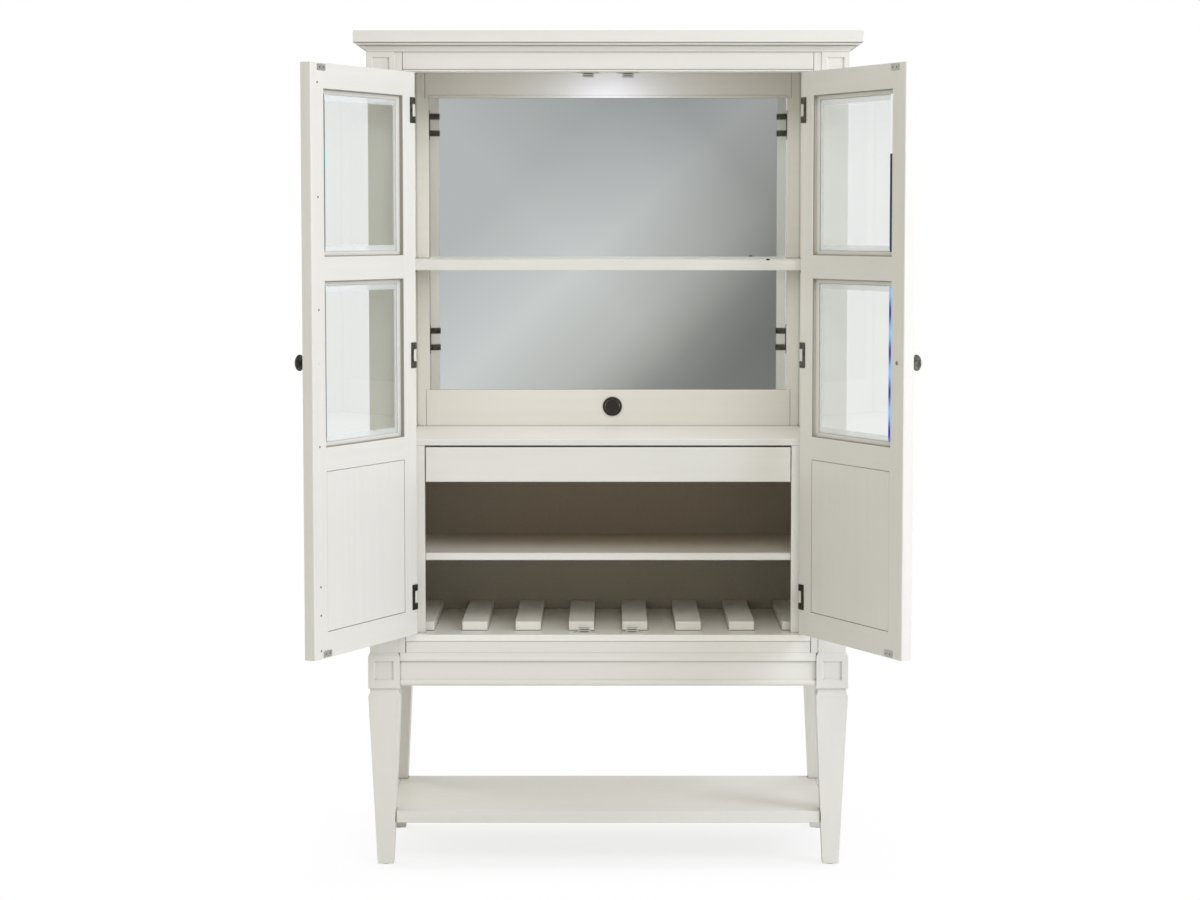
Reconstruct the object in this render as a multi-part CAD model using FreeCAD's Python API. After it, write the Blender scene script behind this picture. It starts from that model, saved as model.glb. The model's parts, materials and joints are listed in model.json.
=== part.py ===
import FreeCAD, Part
import math
import os

# A free-standing bar and display cabinet: a case with two glazed doors on a stand with tapered legs.
# Millimetres. X runs to the right, Y to the back, Z up. The origin lies on the floor, midway between
# the sides and midway between the foremost edge of the open doors and the back of the case.

# Case
case_width = 1112.0
case_depth = 476.0
stand_top = 504.0
rail_height = 26.5
floor_board = 16.0
header_height = 44.4
header_depth = 46.0
post = 66.0
stile = 16.5
face_set_back = 2.0
rail_joint = 0.8
header_bead = 4.6
quirk_width = 1.2
quirk_depth = 1.6
behind_door = 3.6
ceiling_board = 20.4
back_board = 9.0

# Doors
door_thick = 25.4
door_height = 1298.0
door_foot_gap = 5.0
door_head_gap = 2.5
meeting_gap = 1.0
member = 57.0
pane_height = 359.5
lower_rail = 54.0
open_angle = 114.6
lip_depth = 8.0
lip_width = 10.0
lip_face = 4.0
glass_thick = 5.0
glass_bevel = 22.0
glass_edge = 3.0
bead_width = 9.0
bead_crest = 0.8
bead_below_face = 9.0
pane_ease = 3.0
free_edge_round = 3.0
glass_gap = 0.4
panel_gap = 0.9

# Hinges
pin_radius = 1.6
pin_clearance = 0.05
knuckle_radius = 3.2
pin_ahead = 4.0
leaf = 1.5
leaf_height = 58.5
leaf_arm = 15.0
leaf_reach = 24.0
leaf_web = 11.0
tongue_reach = 24.0
knuckle_gap = 0.5
edge_to_pin = 1.7
hinge_from_end = 87.0
finial_neck = 3.1
finial_bulb = 6.4
finial_radius = 2.6
finial_tip = 1.0

# Knobs, strikes and catches
knob_radius = 18.0
knob_projection = 33.0
knob_neck = 5.5
knob_base = 9.0
knob_collar = 2.0
knob_neck_foot = 5.0
knob_neck_top = 14.0
knob_rim_foot = 23.2
knob_rim = 25.2
screw_radius = 4.5
screw_height = 1.8
screw_slope = 1.2
strike_width = 34.0
strike_height = 13.0
strike_thick = 1.5
strike_from_edge_high = 45.0
strike_from_edge_low = 55.0
strike_from_end = 3.0
catch_clearance = 0.5
catch_depth = 16.0
catch_height = 12.0
catch_width = 50.0
catch_body = 28.0
catch_ear = 2.5
catch_slot_end = 4.0
catch_slot_height = 2.0
catch_slot_depth = 1.0

# Inside
counter_up = 456.5
counter_board = 15.5
counter_round = 4.0
bay_stile = 45.5
drawer_gap = 4.0
drawer_side_gap = 1.8
drawer_front_height = 81.5
drawer_front_thick = 18.0
drawer_room = 34.0
drawer_side = 12.0
drawer_bottom = 6.0
drawer_inset = 10.0
runner_height = 18.0
runner_thick = 12.7
fit = 0.3
lower_shelf_up = 187.5
lower_shelf_board = 17.0
display_shelf_up = 415.0
display_shelf_board = 23.0
shelf_set_back = 10.0
shelf_gap = 0.6
groove_width = 8.0
groove_depth = 4.0
groove_left = 279.0
groove_right = 342.0
groove_from_back = 62.0
bottle_gap = 66.5
slat_end_gap = 3.55
slat_height = 21.5
slat_set_back = 67.0
pin_plate = 12.0
pin_from_end = 60.0

# Mirror and back
mirror_stile = 32.0
rail_past_mirror = 9.0
frame_joint = 1.0
mirror_low_rail = 90.5
mirror_high_rail = 64.0
mirror_thick = 5.0
mirror_arris = 0.6
mirror_edge = 4.4
frame_proud = 2.0
frame_lip_height = 7.5
frame_lip_proud = 2.5
grommet_radius = 23.5
grommet_hole = 20.0
grommet_wall = 2.0
grommet_flange = 2.5
grommet_cap = 5.0
grommet_up = 49.0
grommet_offset = 10.5
lining_board = 4.0

# Light
puck_radius = 34.0
puck_height = 11.0
puck_lens_radius = 26.0
puck_lens_height = 2.5
puck_slope = 3.0

# Stand
glide = 2.0
glide_radius = 13.0
block = 74.0
block_height = 83.5
shoulder_height = 8.0
block_proud = 4.5
neck = 66.5
neck_height = 9.5
flare_height = 8.0
foot = 37.5
recess = 45.5
recess_depth = 4.0
recess_slope = 3.0
recess_drop = 2.5
post_recess = 40.5
post_recess_head = 11.0
apron_height = 78.0
apron_board = 22.0
apron_behind_block = 8.0
bead_height = 15.5
bead_proud = 5.0
ledge_height = 19.0
ledge_proud = 6.0
ledge_lip = 4.0
ledge_bulge = 2.0
ledge_top_proud = 1.0
shelf_foot = 99.0
shelf_board = 27.5
shelf_from_leg = 8.5
shelf_front_inset = 13.5
shelf_back_inset = 26.0
stretcher_width = 25.0
leg_clearance = 0.6
ease = 1.5

# Crown
crown_band = 26.6
band_out = 4.0
crown_seat = 40.0
cove_out = 13.0
cove_up = 13.0
crown_fillet = 1.6
step_out = 3.0
ovolo_out = 8.0
ovolo_up = 4.8
crown_board = 16.0

# Sides
side_rail_height = 70.0
side_rail_thick = 12.0
side_rail_set_back = 4.0
side_panel_thick = 14.0

outer = case_width / 2
opening_half = outer - post - stile
pin_x = opening_half - knuckle_radius
swing = math.radians(open_angle)
door_reach = free_edge_round + (pin_x - meeting_gap - free_edge_round) * math.sin(swing)
door_reach -= (pin_ahead + door_thick - free_edge_round) * math.cos(swing)
open_reach = door_reach + pin_ahead - face_set_back
front = (open_reach - case_depth) / 2
back = (open_reach + case_depth) / 2
door_face = front + face_set_back
frame_board = door_thick + behind_door
inside_front = door_face + frame_board
floor_foot = stand_top + rail_height
floor_top = floor_foot + floor_board
door_foot = floor_top + door_foot_gap
door_head = door_foot + door_height
header_foot = door_head + door_head_gap
crown_foot = header_foot + header_height
ceiling_foot = crown_foot - ceiling_board
back_face = back - back_board
counter_top = floor_top + counter_up
counter_foot = counter_top - counter_board
pin_y = door_face - pin_ahead
hinge_edge = pin_x - edge_to_pin
free_edge = meeting_gap
door_inner = door_face + door_thick
mirror_face = back_face - mirror_thick
frame_face = mirror_face - frame_proud
leg_x = outer + block_proud - block / 2
leg_front_y = front - block_proud + block / 2
leg_back_y = back - block / 2
bay_half = opening_half - bay_stile

os.makedirs("parts", exist_ok=True)


def vec(x, y, z):
    return FreeCAD.Vector(x, y, z)


def box(x0, x1, y0, y1, z0, z1):
    return Part.makeBox(x1 - x0, y1 - y0, z1 - z0, vec(x0, y0, z0))


def mirrored(shape):
    return shape.mirror(vec(0, 0, 0), vec(1, 0, 0))


def both(shape):
    return Part.makeCompound([shape, mirrored(shape)])


def group(shapes):
    return Part.makeCompound(shapes)


def polygon(points):
    return Part.makePolygon([vec(*p) for p in points + points[:1]])


def swept(edges, along):
    return Part.Face(Part.Wire(edges)).extrude(vec(*along))


def line(a, b):
    return Part.LineSegment(vec(*a), vec(*b)).toShape()


def arc(a, through, b):
    return Part.Arc(vec(*a), vec(*through), vec(*b)).toShape()


def tapered(y0, outline0, y1, outline1):
    x0, x1, z0, z1 = outline0
    end_x0, end_x1, end_z0, end_z1 = outline1
    return Part.makeWedge(x0, y0, z0, end_z0, end_x0, x1, y1, z1, end_z1, end_x1)


def inset(outline, by):
    x0, x1, z0, z1 = outline
    return x0 + by, x1 - by, z0 + by, z1 - by


def upright_edges(shape):
    boxes = [(e, e.BoundBox) for e in shape.Edges]
    return [e for e, b in boxes if b.ZLength > b.XLength + b.YLength]


def eased_upright(shape, size):
    return shape.makeChamfer(size, upright_edges(shape))


def front_edges(shape, y):
    return [e for e in shape.Edges if abs(e.BoundBox.YMin - y) < 0.01 and e.BoundBox.YLength < 0.01]


def eased_front(shape, y, size):
    return shape.makeChamfer(size, front_edges(shape, y))


def sunk_square(face_y, x, z, size):
    half = size / 2
    outline = (x - half, x + half, z - half, z + half)
    return tapered(face_y, outline, face_y + recess_depth, inset(outline, recess_slope))


def sunk_side_square(face_x, y, z, size):
    square = sunk_square(0, 0, 0, size)
    square.rotate(vec(0, 0, 0), vec(0, 0, 1), 90)
    square.translate(vec(face_x, y, z))
    return square


def save(name, shape):
    shape.exportStep("parts/" + name + ".step")


# Legs: a square block with sunk squares, a cut-in neck and a slender taper

block_shoulder = stand_top - shoulder_height
block_foot = stand_top - block_height
neck_foot = block_foot - neck_height
taper_top = neck_foot - flare_height
apron_foot = stand_top - apron_height


def leg_length(y, z0, size0, z1, size1):
    low = size0 / 2
    high = size1 / 2
    length = tapered(z0, (-low, low, -low, low), z1, (-high, high, -high, high))
    length.rotate(vec(0, 0, 0), vec(1, 0, 0), 90)
    length.translate(vec(leg_x, y, 0))
    return length


def leg(y, at_front):
    shaft = leg_length(y, glide, foot, taper_top, block)
    flare = leg_length(y, taper_top, block, neck_foot, neck)
    waist = leg_length(y, neck_foot, neck, block_foot, neck)
    body = leg_length(y, block_foot, block, block_shoulder, block)
    shoulder = leg_length(y, block_shoulder, block, stand_top, post)
    solid = shaft.fuse([flare, waist, body, shoulder])
    middle = (apron_foot + stand_top) / 2 - recess_drop
    solid = solid.cut(sunk_side_square(leg_x + block / 2, y, middle, recess))
    if at_front:
        solid = solid.cut(sunk_square(y - block / 2, leg_x, middle, recess))
    return solid.removeSplitter()


front_leg = leg(leg_front_y, True)
rear_leg = leg(leg_back_y, False)
save("leg_front_right", front_leg)
save("leg_front_left", mirrored(front_leg))
save("leg_rear_right", rear_leg)
save("leg_rear_left", mirrored(rear_leg))

glides = []
for x in (-leg_x, leg_x):
    for y in (leg_front_y, leg_back_y):
        glides.append(Part.makeCylinder(glide_radius, glide, vec(x, y, 0)))
save("foot_glides", group(glides))

# Aprons: a bead along the foot and an overhanging moulded ledge under the case

apron_half = leg_x - block / 2
apron_face = front - block_proud + apron_behind_block
ledge_foot = stand_top - ledge_height


def apron(length):
    bead_mid = apron_foot + bead_height / 2
    bead_top = apron_foot + bead_height
    ledge_top = ledge_foot + ledge_lip
    rise = (ledge_top + stand_top) / 2 + ledge_bulge
    edges = [
        line((0, apron_board, apron_foot), (0, 0, apron_foot)),
        arc((0, 0, apron_foot), (0, -bead_proud, bead_mid), (0, 0, bead_top)),
        line((0, 0, bead_top), (0, 0, ledge_foot)),
        line((0, 0, ledge_foot), (0, -ledge_proud, ledge_foot)),
        line((0, -ledge_proud, ledge_foot), (0, -ledge_proud, ledge_top)),
        arc((0, -ledge_proud, ledge_top), (0, -ledge_proud / 2, rise), (0, -ledge_top_proud, stand_top)),
        line((0, -ledge_top_proud, stand_top), (0, apron_board, stand_top)),
        line((0, apron_board, stand_top), (0, apron_board, apron_foot)),
    ]
    return swept(edges, (length, 0, 0))


front_apron = apron(2 * apron_half)
front_apron.translate(vec(-apron_half, apron_face, 0))
save("apron_front", front_apron)

side_start = leg_front_y + block / 2
side_end = leg_back_y - block / 2
side_apron = apron(side_end - side_start)
side_apron.rotate(vec(0, 0, 0), vec(0, 0, 1), 90)
side_apron.translate(vec(outer + block_proud - apron_behind_block, side_start, 0))
rear_apron = box(-apron_half, apron_half, back - apron_behind_block - apron_board, back - apron_behind_block,
                 apron_foot, stand_top)
save("aprons_side_rear", group([side_apron, mirrored(side_apron), rear_apron]))

# Low shelf between the legs, carried by a stretcher at each end

shelf_top = shelf_foot + shelf_board
shelf_half = leg_x - shelf_from_leg


def taper_half(z):
    return foot / 2 + (block - foot) / 2 * (z - glide) / (taper_top - glide)


leg_reach = taper_half(shelf_top) + leg_clearance
shelf_front = front + shelf_front_inset
low_shelf = box(-shelf_half, shelf_half, shelf_front, back - shelf_back_inset, shelf_foot, shelf_top)
for side in (-1, 1):
    for y in (leg_front_y, leg_back_y):
        x = side * leg_x
        corner = box(x - leg_reach, x + leg_reach, y - leg_reach, y + leg_reach, shelf_foot, shelf_top)
        low_shelf = low_shelf.cut(corner)
low_shelf = eased_front(low_shelf, shelf_front, ease)
save("bottom_shelf", low_shelf)

stretcher_x = shelf_half + rail_joint
stretcher_profile = [
    (stretcher_x, leg_front_y + taper_half(shelf_foot), shelf_foot),
    (stretcher_x, leg_back_y - taper_half(shelf_foot), shelf_foot),
    (stretcher_x, leg_back_y - taper_half(shelf_top), shelf_top),
    (stretcher_x, leg_front_y + taper_half(shelf_top), shelf_top),
]
stretcher = Part.Face(polygon(stretcher_profile)).extrude(vec(stretcher_width, 0, 0))
save("shelf_stretchers", both(stretcher))

# Corner posts with a sunk square at the head

post_middle = outer - post / 2
sunk_z = crown_foot - post_recess_head - post_recess / 2
front_post = box(outer - post, outer, front, front + post, stand_top, crown_foot)
front_post = eased_upright(front_post, ease)
front_post = front_post.cut(sunk_square(front, post_middle, sunk_z, post_recess))
front_post = front_post.cut(sunk_side_square(outer, front + post / 2, sunk_z, post_recess))
save("post_front_right", front_post)
save("post_front_left", mirrored(front_post))
rear_post = box(outer - post, outer, back - post, back, stand_top, crown_foot)
rear_post = eased_upright(rear_post, ease)
rear_post = rear_post.cut(sunk_side_square(outer, back - post / 2, sunk_z, post_recess))
save("posts_rear", both(rear_post))

# Face frame round the door opening; a quirk sets off a bead along the foot of the header

face_stile = box(opening_half, outer - post, door_face, door_face + frame_board, stand_top, crown_foot)
save("face_stiles", both(face_stile))
rail_end = opening_half - rail_joint
bottom_rail = box(-rail_end, rail_end, door_face, door_face + frame_board, stand_top, floor_foot)
save("bottom_rail", eased_front(bottom_rail, door_face, ease / 2))
bead_mid = header_foot + header_bead / 2
quirk_foot = header_foot + header_bead
quirk_head = quirk_foot + quirk_width
quirk_back = door_face + quirk_depth
header = swept([
    line((-rail_end, inside_front, header_foot), (-rail_end, quirk_back, header_foot)),
    arc((-rail_end, quirk_back, header_foot), (-rail_end, door_face, bead_mid),
        (-rail_end, quirk_back, quirk_foot)),
    line((-rail_end, quirk_back, quirk_foot), (-rail_end, quirk_back, quirk_head)),
    line((-rail_end, quirk_back, quirk_head), (-rail_end, door_face, quirk_head)),
    line((-rail_end, door_face, quirk_head), (-rail_end, door_face, crown_foot)),
    line((-rail_end, door_face, crown_foot), (-rail_end, inside_front, crown_foot)),
    line((-rail_end, inside_front, crown_foot), (-rail_end, inside_front, header_foot)),
], (2 * rail_end, 0, 0))
catch_strip = box(-opening_half, opening_half, inside_front, door_face + header_depth,
                  header_foot, crown_foot)
save("header_rail", header.fuse(catch_strip).removeSplitter())

# Sides: three rails over a flat panel between the posts

rail_outer = outer - side_rail_set_back
rail_inner = rail_outer - side_rail_thick
mid_rail_foot = counter_top - side_rail_height / 2
side_rails = []
for foot_z in (stand_top, mid_rail_foot, crown_foot - side_rail_height):
    rail = box(rail_inner, rail_outer, front + post, back - post, foot_z, foot_z + side_rail_height)
    side_rails += [rail, mirrored(rail)]
save("side_rails", group(side_rails))
side_panel = box(rail_inner - side_panel_thick, rail_inner, front + post, back - post, stand_top, crown_foot)
save("side_panel_right", side_panel)
save("side_panel_left", mirrored(side_panel))

# Floor, walls, ceiling and back of the case

case_floor = box(-opening_half + fit, opening_half - fit, door_face, back_face, floor_foot, floor_top)
save("case_floor", eased_front(case_floor, door_face, ease))
wall = box(opening_half, outer - post, inside_front, back_face, floor_foot, ceiling_foot)
save("inner_wall_right", wall)
save("inner_wall_left", mirrored(wall))
ceiling = box(-outer + post, outer - post, door_face + header_depth, back_face, ceiling_foot, crown_foot)
save("ceiling", ceiling)


grommet_height = counter_top + grommet_up


def grommet_disc(radius, y0, y1):
    return Part.makeCylinder(radius, y1 - y0, vec(grommet_offset, y0, grommet_height), vec(0, 1, 0))


cable_hole = grommet_disc(grommet_hole, frame_face, back)
back_panel = box(-outer + post, outer - post, back_face, back, floor_foot, crown_foot).cut(cable_hole)
save("back_panel", back_panel)
lower_back = box(-opening_half, opening_half, back_face - lining_board, back_face, floor_top, counter_foot)
save("lower_back", lower_back)

# Mirror with a polished edge, in a painted frame: the stiles are rebated where the rails run past the mirror

mirror_half = opening_half - mirror_stile
rail_half = mirror_half + rail_past_mirror
mirror_foot = counter_top + mirror_low_rail
mirror_head = ceiling_foot - mirror_high_rail
lip_face_y = frame_face - frame_lip_proud
lip_shoulder = mirror_head + frame_lip_height - frame_lip_proud
frame_lip = Part.Face(polygon([(-mirror_half, frame_face, mirror_head),
                               (-mirror_half, lip_face_y, mirror_head),
                               (-mirror_half, lip_face_y, lip_shoulder),
                               (-mirror_half, frame_face, mirror_head + frame_lip_height)]))
frame_lip = frame_lip.extrude(vec(2 * mirror_half, 0, 0))
frame_head = box(-rail_half, rail_half, frame_face, back_face, mirror_head, ceiling_foot).fuse(frame_lip)
frame_head = frame_head.removeSplitter()
frame_foot = box(-rail_half, rail_half, frame_face, back_face, counter_foot, mirror_foot).cut(cable_hole)
frame_stile = box(mirror_half, opening_half, frame_face, back_face, mirror_foot + fit, mirror_head - fit)
sight_edge = [e for e in upright_edges(frame_stile)
              if abs(e.BoundBox.XMax - mirror_half) < 0.01 and abs(e.BoundBox.YMax - frame_face) < 0.01]
frame_stile = frame_stile.makeChamfer(ease, sight_edge)
beside_rails = box(rail_half + frame_joint, opening_half, frame_face, back_face, counter_foot, ceiling_foot)
frame_stile = frame_stile.fuse(beside_rails).removeSplitter()
save("mirror_frame", group([frame_head, frame_foot, frame_stile, mirrored(frame_stile)]))
arris_face = back_face - mirror_edge
mirror_outline = (-mirror_half, mirror_half, mirror_foot, mirror_head)
mirror_front = tapered(mirror_face, inset(mirror_outline, mirror_arris), arris_face, mirror_outline)
mirror_body = box(-mirror_half, mirror_half, arris_face, back_face, mirror_foot, mirror_head)
save("mirror", mirror_body.fuse(mirror_front).removeSplitter())

# Cable grommet: a flanged sleeve through the lower rail and the back, closed by a cap

sleeve_face = frame_face - grommet_flange
flange = grommet_disc(grommet_radius, sleeve_face, frame_face)
sleeve = grommet_disc(grommet_hole - fit, frame_face, back)
bore_radius = grommet_hole - fit - grommet_wall
bore = grommet_disc(bore_radius, sleeve_face, back)
cap_face = sleeve_face + fit
cap = grommet_disc(bore_radius - fit, cap_face, cap_face + grommet_cap)
save("grommet", group([flange.fuse(sleeve).cut(bore).removeSplitter(), cap]))

# Counter, shelves and the little plates that carry them

lower_shelf_top = floor_top + lower_shelf_up
display_shelf_top = counter_top + display_shelf_up
counter = box(-opening_half, opening_half, inside_front, frame_face, counter_foot, counter_top)
counter_nose = [e for e in front_edges(counter, inside_front) if e.BoundBox.ZMin > counter_foot + 1]
counter = counter.makeFillet(counter_round, counter_nose)
save("counter", counter)


def shelf(top, board, rear):
    half = opening_half - shelf_gap
    y = inside_front + shelf_set_back
    return eased_front(box(-half, half, y, rear, top - board, top), y, ease)


display_shelf = shelf(display_shelf_top, display_shelf_board, frame_face - shelf_gap)
groove_y = frame_face - groove_from_back
plate_groove = box(-groove_left, groove_right, groove_y, groove_y + groove_width,
                   display_shelf_top - groove_depth, display_shelf_top)
save("display_shelf", display_shelf.cut(plate_groove))
lower_shelf = shelf(lower_shelf_top, lower_shelf_board, back_face - lining_board - shelf_gap)
save("lower_shelf", lower_shelf)

pins = []
for foot_z in (display_shelf_top - display_shelf_board, lower_shelf_top - lower_shelf_board):
    for y in (inside_front + pin_from_end, frame_face - pin_from_end):
        plate = Part.Face(polygon([(opening_half, y, foot_z), (opening_half - pin_plate, y, foot_z),
                                   (opening_half, y, foot_z - pin_plate)])).extrude(vec(0, pin_plate / 2, 0))
        pins += [plate, mirrored(plate)]
save("shelf_pins", group(pins))

# Bottle slats: bottles lie in the gaps between them

slat_front = door_face + slat_set_back
slat_back = back_face - lining_board
slat_top = floor_top + slat_height
slat_width = (2 * opening_half - 2 * slat_end_gap - 7 * bottle_gap) / 8
slat_pitch = slat_width + bottle_gap
slats = []
for n in (0.5, 1.5, 2.5, 3.5):
    x = n * slat_pitch
    slat = box(x - slat_width / 2, x + slat_width / 2, slat_front, slat_back, floor_top, slat_top)
    slat = eased_front(slat, slat_front, ease)
    slats += [slat, mirrored(slat)]
save("bottle_slats", group(slats))

# Drawer under the counter, between the front stiles of the lower bays; a bearer behind each stile carries a
# runner

drawer_head = counter_foot - drawer_gap
drawer_foot = drawer_head - drawer_front_height
drawer_half = bay_half - drawer_side_gap
drawer_back_y = inside_front + drawer_front_thick
drawer_front = box(-drawer_half, drawer_half, inside_front, drawer_back_y, drawer_foot, drawer_head)
save("drawer_front", eased_front(drawer_front, inside_front, ease))
side_outer = bay_half - runner_thick
side_inner = side_outer - drawer_side
box_foot = drawer_foot + drawer_inset
box_head = drawer_head - drawer_inset
drawer_rear = back_face - lining_board - drawer_room
drawer_side_board = box(side_inner, side_outer, drawer_back_y, drawer_rear, box_foot, box_head)
between = side_inner - fit
drawer_end = drawer_rear - drawer_side
drawer_back = box(-between, between, drawer_end, drawer_rear, box_foot, box_head)
drawer_base = box(-between, between, drawer_back_y, drawer_end - fit, box_foot, box_foot + drawer_bottom)
save("drawer_box", group([drawer_side_board, mirrored(drawer_side_board), drawer_back, drawer_base]))
runner_foot = (box_foot + box_head - runner_height) / 2
runner_head = runner_foot + runner_height
runner = box(side_outer, bay_half, drawer_back_y + fit, drawer_rear, runner_foot, runner_head)
save("drawer_runners", both(runner))
stile_back = inside_front + shelf_set_back - shelf_gap
bay_side = box(bay_half, opening_half, inside_front, stile_back, floor_top, counter_foot - shelf_gap)
bearer = box(bay_half, opening_half, stile_back + fit, drawer_rear, box_foot, box_head)
save("liners", group([bay_side, mirrored(bay_side), bearer, mirrored(bearer)]))

# Puck light in the ceiling

light_y = (inside_front + back_face) / 2
puck_foot = vec(0, light_y, ceiling_foot - puck_height)
puck = Part.makeCylinder(puck_radius, puck_height, puck_foot)
puck_rim = [e for e in puck.Edges if e.BoundBox.ZMax < ceiling_foot - puck_height / 2]
puck = puck.makeChamfer(puck_slope, puck_rim)
pocket = Part.makeCylinder(puck_lens_radius, puck_lens_height, puck_foot)
save("puck_light", puck.cut(pocket))
save("puck_lens", Part.makeCylinder(puck_lens_radius - fit, puck_lens_height, puck_foot))

# Magnetic catches under the header and on the floor

strike_high = free_edge + strike_from_edge_high
strike_low = free_edge + strike_from_edge_low
catch_front = door_inner + strike_thick + catch_clearance
catch_back = catch_front + catch_depth
catches = []
for x, foot_z, ear_foot in ((strike_high, header_foot - catch_height, header_foot - catch_ear),
                            (strike_low, floor_top, floor_top)):
    x0 = x - catch_body / 2
    x1 = x + catch_body / 2
    slot_foot = foot_z + (catch_height - catch_slot_height) / 2
    catch = box(x0, x1, catch_front, catch_back, foot_z, foot_z + catch_height)
    ears = box(x - catch_width / 2, x + catch_width / 2, catch_front, catch_back,
               ear_foot, ear_foot + catch_ear)
    slot = box(x0 + catch_slot_end, x1 - catch_slot_end, catch_front, catch_front + catch_slot_depth,
               slot_foot, slot_foot + catch_slot_height)
    catch = catch.fuse(ears).cut(slot).removeSplitter()
    catches += [catch, mirrored(catch)]
save("catches", group(catches))

# Crown: a cove and an ovolo under a broad band, each below a narrow fillet, mitred at the front corners

crown_height = cove_up + ovolo_up + 2 * crown_fillet + crown_band
crown_overhang = cove_out + step_out + ovolo_out + band_out
crown_top = crown_foot + crown_height
far = math.sqrt(0.5)
near = 1 - far


def crown(length):
    cove_z = crown_foot + cove_up
    step = cove_out + step_out
    ovolo_foot = cove_z + crown_fillet
    ovolo_z = ovolo_foot + ovolo_up
    crest = step + ovolo_out
    band_foot = ovolo_z + crown_fillet
    edges = [
        line((0, crown_seat, crown_foot), (0, 0, crown_foot)),
        arc((0, 0, crown_foot), (0, -near * cove_out, crown_foot + far * cove_up), (0, -cove_out, cove_z)),
        line((0, -cove_out, cove_z), (0, -cove_out, ovolo_foot)),
        line((0, -cove_out, ovolo_foot), (0, -step, ovolo_foot)),
        arc((0, -step, ovolo_foot), (0, -step - far * ovolo_out, ovolo_foot + near * ovolo_up),
            (0, -crest, ovolo_z)),
        line((0, -crest, ovolo_z), (0, -crest, band_foot)),
        line((0, -crest, band_foot), (0, -crown_overhang, band_foot)),
        line((0, -crown_overhang, band_foot), (0, -crown_overhang, crown_top - ease)),
        line((0, -crown_overhang, crown_top - ease), (0, ease - crown_overhang, crown_top)),
        line((0, ease - crown_overhang, crown_top), (0, crown_seat, crown_top)),
        line((0, crown_seat, crown_top), (0, crown_seat, crown_foot)),
    ]
    return swept(edges, (length, 0, 0))


crown_half = outer + crown_overhang
crown_front_y = front - crown_overhang
span = crown_overhang + crown_seat
mitre_front = Part.Face(polygon([
    (-crown_half, crown_front_y, crown_foot),
    (crown_half, crown_front_y, crown_foot),
    (crown_half - span, crown_front_y + span, crown_foot),
    (span - crown_half, crown_front_y + span, crown_foot),
])).extrude(vec(0, 0, crown_height))
mitre_side = Part.Face(polygon([
    (crown_half, crown_front_y, crown_foot),
    (crown_half, back, crown_foot),
    (crown_half - span, back, crown_foot),
    (crown_half - span, crown_front_y + span, crown_foot),
])).extrude(vec(0, 0, crown_height))
crown_front = crown(2 * crown_half)
crown_front.translate(vec(-crown_half, front, 0))
save("crown_front", crown_front.common(mitre_front))
crown_side = crown(back - crown_front_y)
crown_side.rotate(vec(0, 0, 0), vec(0, 0, 1), 90)
crown_side.translate(vec(outer, crown_front_y, 0))
save("crown_sides", both(crown_side.common(mitre_side)))
lid_half = outer - crown_seat
lid_foot = crown_top - crown_board
crown_lid = box(-lid_half, lid_half, front + crown_seat, back, lid_foot, crown_top)
crown_rear = box(-lid_half, lid_half, back - crown_board, back, crown_foot, lid_foot - fit)
save("crown_top", group([crown_lid, crown_rear]))

# Doors, drawn closed on the right-hand side and then swung open on the hinge pins

opening_near = hinge_edge - member
opening_far = free_edge + member
upper_head = door_head - member
upper_foot = upper_head - pane_height
lower_head = upper_foot - member
lower_foot = lower_head - pane_height
panel_head = lower_foot - lower_rail
panel_foot = door_foot + member
openings = [(panel_foot, panel_head), (lower_foot, lower_head), (upper_foot, upper_head)]
lip_back = door_face + lip_depth


def lip_side(x, inward, z0, z1):
    at_face = x + inward * lip_face
    at_back = x + inward * lip_width
    return Part.makeLoft([
        polygon([(x, door_face, z0), (at_face, door_face, z0 + lip_face),
                 (at_face, door_face, z1 - lip_face), (x, door_face, z1)]),
        polygon([(x, lip_back, z0), (at_back, lip_back, z0 + lip_width),
                 (at_back, lip_back, z1 - lip_width), (x, lip_back, z1)]),
    ], True, True)


def lip_level(z, inward, x0, x1):
    at_face = z + inward * lip_face
    at_back = z + inward * lip_width
    return Part.makeLoft([
        polygon([(x0, door_face, z), (x0 + lip_face, door_face, at_face),
                 (x1 - lip_face, door_face, at_face), (x1, door_face, z)]),
        polygon([(x0, lip_back, z), (x0 + lip_width, lip_back, at_back),
                 (x1 - lip_width, lip_back, at_back), (x1, lip_back, z)]),
    ], True, True)


hinge_stile = box(opening_near, hinge_edge, door_face, door_inner, door_foot, door_head)
free_stile = box(free_edge, opening_far, door_face, door_inner, door_foot, door_head)
meeting_corner = [e for e in upright_edges(free_stile)
                  if abs(e.BoundBox.XMax - free_edge) < 0.01 and abs(e.BoundBox.YMin - door_inner) < 0.01]
free_stile = free_stile.makeFillet(free_edge_round, meeting_corner)
for z0, z1 in openings:
    hinge_stile = hinge_stile.fuse(lip_side(opening_near, -1, z0, z1))
    free_stile = free_stile.fuse(lip_side(opening_far, 1, z0, z1))
stiles = group([hinge_stile.removeSplitter(), free_stile.removeSplitter()])

rail_feet = [door_foot, panel_head, lower_head, upper_head]
rail_heads = [panel_foot, lower_foot, upper_foot, door_head]
rails = []
for z0, z1 in zip(rail_feet, rail_heads):
    rail = box(opening_far, opening_near, door_face, door_inner, z0, z1)
    if z0 > door_foot:
        rail = rail.fuse(lip_level(z0, -1, opening_far, opening_near))
    if z1 < door_head:
        rail = rail.fuse(lip_level(z1, 1, opening_far, opening_near))
    rails.append(rail.removeSplitter())

panel_inner = door_inner - fit
panel = box(opening_far + panel_gap, opening_near - panel_gap, lip_back, panel_inner,
            panel_foot + panel_gap, panel_head - panel_gap)
panel = eased_front(panel, panel_inner, ease / 2)

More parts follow.
